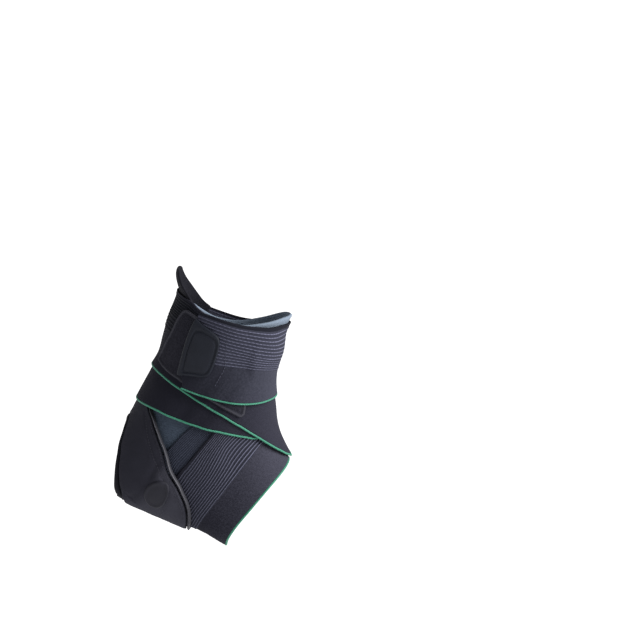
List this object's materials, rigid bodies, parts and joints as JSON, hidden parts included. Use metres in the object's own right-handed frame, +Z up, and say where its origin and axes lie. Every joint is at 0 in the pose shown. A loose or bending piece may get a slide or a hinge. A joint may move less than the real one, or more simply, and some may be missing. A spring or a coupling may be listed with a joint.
{
  "type": "ankle brace",
  "caption": "Wrap-around elastic ankle brace for a right ankle, with an open heel and toe, a heel stirrup panel and a hook tab closure, held in its worn shape",
  "frame": {"origin": "centre of the ankle joint, inside the hollow", "axes": "+Z up the leg, +X towards the toes, -Y to the outer side of the right ankle, sole flat and parallel to XY"},
  "size_m": [0.1192, 0.0903, 0.1628],
  "materials": {
    "lining": "soft blue-grey knit",
    "collar": "matt dark knit",
    "gusset": "fine ribbed elastic",
    "elastic": "ribbed and smooth woven elastic",
    "panel": "smooth dense knit",
    "disc": "satin moulded",
    "binding": "matt woven tape",
    "piping": "green woven cord",
    "loop": "fuzzy loop pile",
    "tab": "satin moulded"
  },
  "bodies": {
    "root": {"inner_sleeve": "lining", "rear_collar": "collar", "gusset_outer": "gusset", "gusset_inner": "gusset", "foot_wrap": "elastic", "foot_piping": "piping", "heel_panel": "panel", "heel_binding": "collar", "front_binding": "binding", "heel_disc_outer": "disc", "heel_disc_inner": "disc", "ankle_wrap": "elastic", "ankle_piping": "piping", "upper_wrap": "elastic", "upper_piping": "piping", "loop_patch": "loop", "cuff_wrap": "elastic", "cuff_piping": "piping", "closure_tab": "tab"}
  },
  "joints": []
}
